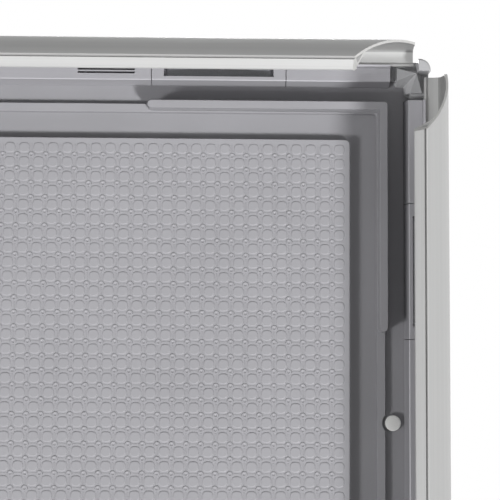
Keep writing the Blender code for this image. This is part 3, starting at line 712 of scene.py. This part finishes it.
class SNAPFRAME_OT_snap_rails(bpy.types.Operator):
    """Build the four hinged snap rails, standing open"""

    bl_idname = "snap_frame.snap_rails"
    bl_label = "Snap Rails"

    def execute(self, context):
        rails = context.scene.snap_frame.rails
        section = SnapSection(rails)
        for side, length, reach, turns in SIDES:
            bm = bmesh.new()
            for loop in (section.outline(rails.end_setback - section.gap), section.cell()):
                points = [bm.verts.new((d, h, 0.0)) for d, h in loop]
                for first, second in zip(points, points[1:] + points[:1]):
                    bm.edges.new((first, second))
            rail = add_object("snap_rail_cover_" + side, mesh_from("snap_rail_cover_" + side, bm))
            material = rail_metal(context, axis_of(side))
            run_tree(rail, rail_tree(), {
                "Length": length, "Mitre Gap": section.gap, "End Setback": rails.end_setback,
                "Lip Trim": section.lip_trim, "Lip Start": section.crease[0] * section.lip_start,
                "Crease Height": section.crease[1], "Material": material,
            })
            soften(rail, rails.edge_round)
            hinge = Matrix.Translation((0, -section.pivot[1], -section.pivot[0]))
            opened = hinge @ Matrix.Rotation(-rails.open_angle, 4, "X") @ hinge.inverted()
            placed = side_matrix(reach, turns) @ opened
            rail.data.transform(placed)
            give(rail, material)
            rail.data.materials.append(cut_metal(context))
            rail.data.materials.append(painted_shade_inside_metal(context, axis_of(side)))
            middle = placed @ Vector((0, -section.centre[1], -section.centre[0]))
            finish_faces(rail, section, middle, "XYZ".index(axis_of(side)))
            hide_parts("snap_rail_" + side)
            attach(rail, "snap_rail_" + side)
        return {"FINISHED"}


class SNAPFRAME_OT_base_rails(bpy.types.Operator):
    """Build the four base rails that hold the tray"""

    bl_idname = "snap_frame.base_rails"
    bl_label = "Base Rails"

    def execute(self, context):
        for side, *_ in SIDES:
            metal = web_metal(context, axis_of(side))
            name = "base_rail_body_" + side
            softened_node("base_rail_" + side, name, 0, metal, sharp_deg=30.0)
        return {"FINISHED"}


class SNAPFRAME_OT_spring_cassettes(bpy.types.Operator):
    """Build the eight spring cassettes in the base rails"""

    bl_idname = "snap_frame.spring_cassettes"
    bl_label = "Spring Cassettes"

    def execute(self, context):
        for node in nodes_named("spring_cassette_"):
            metal = web_metal(context, axis_of(node.split("_")[2]))
            softened_node(node, node.replace("spring_", ""), CASSETTE_EDGE, metal)
        return {"FINISHED"}


class SNAPFRAME_OT_leaf_springs(bpy.types.Operator):
    """Build the eight bowed leaf springs"""

    bl_idname = "snap_frame.leaf_springs"
    bl_label = "Leaf Springs"

    def execute(self, context):
        steel = drawn_metal("bright_spring_steel", finish(context).spring, 0.2, "Y", 1.0)
        for node in nodes_named("leaf_spring_"):
            softened_node(node, node.replace("leaf_", "bowed_"), SPRING_EDGE, steel)
        return {"FINISHED"}


class SNAPFRAME_OT_corner_connectors(bpy.types.Operator):
    """Build the four faceted corner connectors"""

    bl_idname = "snap_frame.corner_connectors"
    bl_label = "Corner Connectors"

    def execute(self, context):
        plastic = moulded_plastic("corner_block_plastic", finish(context).connector, 0.3)
        for node in nodes_named("corner_connector_"):
            name = node.replace("corner_connector", "connector_body")
            softened_node(node, name, CONNECTOR_EDGE, plastic, FACET_DEG, FACET_DEG)
        return {"FINISHED"}


class SNAPFRAME_OT_back_tray(bpy.types.Operator):
    """Build the moulded back tray with its ribs and raised bed"""

    bl_idname = "snap_frame.back_tray"
    bl_label = "Back Tray"

    def execute(self, context):
        softened_node("back_tray", "tray_panel", 0, tray_plastic(context), sharp_deg=40.0)
        return {"FINISHED"}


def rounded_square(half, radius, steps):
    """Points round a square with round corners, with so many steps on each corner."""
    spots = []
    for quarter in range(4):
        x = (half - radius) * (1 if quarter in (0, 3) else -1)
        y = (half - radius) * (1 if quarter in (0, 1) else -1)
        for step in range(steps):
            angle = math.radians(90.0 * (quarter + step / (steps - 1)))
            spots.append((x + radius * math.cos(angle), y + radius * math.sin(angle)))
    return spots


def turned(sections, sides, corner=None):
    """A closed solid that stands on Z, through rings of (size, height).

    The rings are round. If corner is set, they are squares, and it is the share of their size that is
    rounded.
    """
    bm = bmesh.new()
    rings = []
    for size, height in sections:
        if corner is None:
            angles = [math.tau * (side + 0.5) / sides for side in range(sides)]
            spots = [(size * math.cos(a), size * math.sin(a)) for a in angles]
        else:
            spots = rounded_square(size, corner * size, sides // 4)
        rings.append([bm.verts.new((x, y, height)) for x, y in spots])
    for low, high in zip(rings, rings[1:]):
        for index in range(len(low)):
            after = (index + 1) % len(low)
            bm.faces.new((low[index], low[after], high[after], high[index]))
    bm.faces.new(rings[0][::-1])
    bm.faces.new(rings[-1])
    return bm


def bed_pad(bed):
    """A low square pad with round corners and soft slopes."""
    half = bed.pad_width / 2
    relief = bed.relief
    sections = [(half, -relief / 4), (half - relief / 2, relief / 2), (half - relief * 7 / 4, relief)]
    return turned(sections, 12, bed.pad_corner / bed.pad_width * 2)


def bed_ring(bed):
    """A low round boss with a soft rim and a dimple in its middle."""
    radius = bed.ring_radius
    relief = bed.relief
    sections = [(radius, -relief / 4), (radius * 0.84, relief * 0.92)]
    sections += [(radius * 0.5, relief), (radius / 5, relief * 0.1)]
    return turned(sections, 9)


def bed_bar(bed):
    """A bar along X with sloping sides, lower than the pads, from ring to ring."""
    length = bed.pitch_up - bed.ring_radius * 2
    width = bed.bar_width
    height = bed.relief * 0.35
    bm = bmesh.new()
    rings = []
    for slope, z in ((0.0, -height / 4), (height / 3, height)):
        x, y = length / 2 - slope, width / 2 - slope
        rings.append([bm.verts.new(spot) for spot in ((-x, -y, z), (x, -y, z), (x, y, z), (-x, y, z))])
    low, high = rings
    for index in range(4):
        after = (index + 1) % 4
        bm.faces.new((low[index], low[after], high[after], high[index]))
    bm.faces.new(low[::-1])
    bm.faces.new(high)
    return bm


def repeated(name, bm, material, body, slot, **values):
    """One piece with a shape repeated on a grid."""
    obj = add_object(name, mesh_from(name, bm))
    labels = {label.replace("_", " ").title(): value for label, value in values.items()}
    run_tree(obj, repeat_tree(), {"Spread": 0.0, "Seed": 0, "Material": material, **labels})
    give(obj, material)
    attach(obj, body)
    return obj


class SNAPFRAME_OT_bed_pattern(bpy.types.Operator):
    """Build the raised pads, rings and bars on the bed"""

    bl_idname = "snap_frame.bed_pattern"
    bl_label = "Bed Pattern"

    def execute(self, context):
        bed = context.scene.snap_frame.bed
        plastic = tray_plastic(context)
        half = bed.rows // 2
        upright = bed_bar(bed)
        upright.transform(Matrix.Rotation(math.pi / 2, 4, "Z"))
        # Name, shape, columns, rows, and which way and how far from the middle the first row is
        for name, shape, columns, rows, sign, first in (
            ("bed_pads_upper", bed_pad(bed), bed.columns, half, 1, bed.pitch_up / 2),
            ("bed_rings_upper", bed_ring(bed), bed.columns - 1, half, 1, 0.0),
            ("bed_pads_lower", bed_pad(bed), bed.columns, half, -1, bed.pitch_up / 2),
            ("bed_rings_lower", bed_ring(bed), bed.columns - 1, half - 1, -1, bed.pitch_up),
            ("bed_bars_across", bed_bar(bed), bed.columns, bed.rows - 1, 0, 0.0),
            ("bed_bars_upright", upright, bed.columns - 1, bed.rows, 0, 0.0),
        ):
            repeated(
                name, shape, plastic, "frame", "tray_plastic",
                columns=columns, rows=rows, pitch_across=bed.pitch_across, pitch_up=bed.pitch_up,
                middle_x=0.0, middle_z=sign * (first + bed.pitch_up * (rows - 1) / 2), height=BED_HEIGHT,
                spread=bed.spread, seed=bed.seed,
            )
        return {"FINISHED"}


def plug_sections(radius, stem, head):
    """Rings of a plug, from the foot of its stem over the rounded rim to the top of its head."""
    rim = 0.0004
    sections = [(radius * 0.43, -stem), (radius * 0.43, head - 0.0010), (radius * 0.97, head - 0.0009)]
    for step in range(5):
        angle = math.radians(90.0 * step / 4)
        sections.append((radius - rim * (1 - math.cos(angle)), head - 0.00055 + rim * math.sin(angle)))
    return sections + [(radius * 0.6, head - 0.00003), (radius * 0.2, head)]


class SNAPFRAME_OT_screw_plugs(bpy.types.Operator):
    """Build the four nylon plugs in the channel"""

    bl_idname = "snap_frame.screw_plugs"
    bl_label = "Screw Plugs"

    def execute(self, context):
        nylon = moulded_plastic("plug_nylon", finish(context).plug, 0.4, grain=2600.0)
        low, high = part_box("screw_plug_top_right")
        middle = (low + high) / 2
        sections = plug_sections((high.x - low.x) / 2, high.y, -low.y)
        plugs = repeated(
            "nylon_plugs", turned(sections, 48), nylon, "frame", "nylon", columns=2, rows=2,
            pitch_across=middle.x * 2, pitch_up=middle.z * 2, middle_x=0.0, middle_z=0.0, height=0.0,
        )
        plugs.data.shade_smooth()
        plugs.data.set_sharp_from_angle(angle=math.radians(40.0))
        names = [a + b for a in ("screw_plug_top_", "screw_plug_bottom_") for b in ("left", "right")]
        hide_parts(*names)
        return {"FINISHED"}


# Stage


def aim(obj, direction):
    obj.rotation_euler = Vector(direction).to_track_quat("-Z", "Y").to_euler()


def camera_matrix():
    """The camera's place and turn: yaw to the right, pitch up, and a small roll."""
    yaw, pitch, roll = (math.radians(value) for value in CAMERA_TURN_DEG)
    forward = Vector((math.sin(yaw) * math.cos(pitch), math.cos(yaw) * math.cos(pitch), math.sin(pitch)))
    right = Vector((math.cos(yaw), -math.sin(yaw), 0.0))
    up = right.cross(forward)
    across = right * math.cos(roll) + up * math.sin(roll)
    over = up * math.cos(roll) - right * math.sin(roll)
    turn = Matrix((across, over, -forward)).transposed().to_4x4()
    return Matrix.Translation(CAMERA_PLACE) @ turn


def is_background_ray(tree):
    """1 for the rays that see the white background: camera, glossy and transmission rays."""
    rays = wire(tree, "ShaderNodeLightPath").outputs
    seen = maths(tree, "MAXIMUM", rays["Is Camera Ray"], rays["Is Glossy Ray"])
    return maths(tree, "MAXIMUM", seen, rays["Is Transmission Ray"])


def make_world(strength):
    world = bpy.data.worlds.new("studio")
    world.use_nodes = True
    tree = world.node_tree
    light = tree.nodes["Background"]
    light.inputs["Strength"].default_value = strength
    light.inputs["Color"].default_value = WHITE
    white = wire(tree, "ShaderNodeBackground", {"Color": WHITE, "Strength": 1.0})
    share = is_background_ray(tree)
    mix = wire(tree, "ShaderNodeMixShader", {0: share, 1: light.outputs[0], 2: white.outputs[0]})
    tree.links.new(mix.outputs[0], tree.nodes["World Output"].inputs["Surface"])
    bpy.context.scene.world = world


def floor_material(colour, glow):
    """A pale matt floor that keeps the object's shadow and fades into the white background further out."""
    made, tree, shader = new_material("studio_floor")
    shader.inputs["Base Color"].default_value = (*colour, 1.0)
    shader.inputs["Roughness"].default_value = 0.9
    spot = wire(tree, "ShaderNodeTexCoord")
    far = wire(tree, "ShaderNodeVectorMath", {0: spot.outputs["Object"]}, operation="LENGTH")
    fade = wire(tree, "ShaderNodeMapRange", {
        "Value": far.outputs["Value"], "From Min": FADE_START, "From Max": FADE_END
    })
    seen = is_background_ray(tree)
    strength = maths(tree, "MULTIPLY", seen, glow)
    pale = wire(tree, "ShaderNodeEmission", {"Color": WHITE, "Strength": strength})
    near = wire(tree, "ShaderNodeAddShader", {0: shader.outputs[0], 1: pale.outputs[0]})
    white = wire(tree, "ShaderNodeEmission", {"Color": WHITE, "Strength": 1.0})
    share = maths(tree, "MULTIPLY", seen, fade.outputs[0])
    mix = wire(tree, "ShaderNodeMixShader", {0: share, 1: near.outputs[0], 2: white.outputs[0]})
    tree.links.new(mix.outputs[0], tree.nodes["Material Output"].inputs["Surface"])
    return made


class SNAPFRAME_OT_stage(bpy.types.Operator):
    """Set the floor, the lights, the white background and the camera"""

    bl_idname = "snap_frame.stage"
    bl_label = "Stage"

    def execute(self, context):
        scene = context.scene
        stage = scene.snap_frame.stage
        scene.view_settings.view_transform = "Standard"
        make_world(stage.world)
        bm = bmesh.new()
        bmesh.ops.create_grid(bm, x_segments=1, y_segments=1, size=FLOOR_REACH)
        floor = add_object("floor", mesh_from("floor", bm))
        floor.data.transform(Matrix.Translation((0, 0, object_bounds()[0].z - FLOOR_DROP)))
        # Two of the lights shine from below, through the floor
        floor.visible_shadow = False
        give(floor, floor_material(scene.snap_frame.finish.floor, stage.floor_glow))
        floor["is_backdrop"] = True
        for name, softness, direction in LIGHTS:
            key = add_object(name, bpy.data.lights.new(name, "SUN"))
            key.data.energy = getattr(stage, name)
            key.data.angle = math.radians(softness)
            aim(key, direction)
        camera = add_object("camera", bpy.data.cameras.new("camera"))
        camera.data.sensor_width = SENSOR_WIDTH
        camera.data.lens = stage.lens
        camera.matrix_world = camera_matrix()
        scene.camera = camera
        return {"FINISHED"}


class SNAPFRAME_PT_panel(bpy.types.Panel):
    """Lists the steps that build the snap frame"""

    bl_idname = "SNAPFRAME_PT_panel"
    bl_label = "Snap Frame"
    bl_space_type = "VIEW_3D"
    bl_region_type = "UI"
    bl_category = "Snap Frame"

    def draw(self, context):
        for operator in OPERATORS:
            self.layout.operator(operator.bl_idname)


SETTINGS = (RailSettings, BedSettings, FinishSettings, StageSettings, SnapFrameSettings)
OPERATORS = (
    SNAPFRAME_OT_back_tray,
    SNAPFRAME_OT_bed_pattern,
    SNAPFRAME_OT_base_rails,
    SNAPFRAME_OT_spring_cassettes,
    SNAPFRAME_OT_leaf_springs,
    SNAPFRAME_OT_snap_rails,
    SNAPFRAME_OT_corner_connectors,
    SNAPFRAME_OT_screw_plugs,
    SNAPFRAME_OT_stage,
)
CLASSES = (*SETTINGS, *OPERATORS, SNAPFRAME_PT_panel)


def register():
    for part in CLASSES:
        bpy.utils.register_class(part)
    bpy.types.Scene.snap_frame = PointerProperty(
        type=SnapFrameSettings, name="Snap frame", description="Its settings"
    )


def unregister():
    del bpy.types.Scene.snap_frame
    for part in reversed(CLASSES):
        bpy.utils.unregister_class(part)


def main():
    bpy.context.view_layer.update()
    register()
    for operator in OPERATORS:
        step = operator.bl_idname.split(".")[1]
        getattr(bpy.ops.snap_frame, step)()


if __name__ == "__main__":
    main()
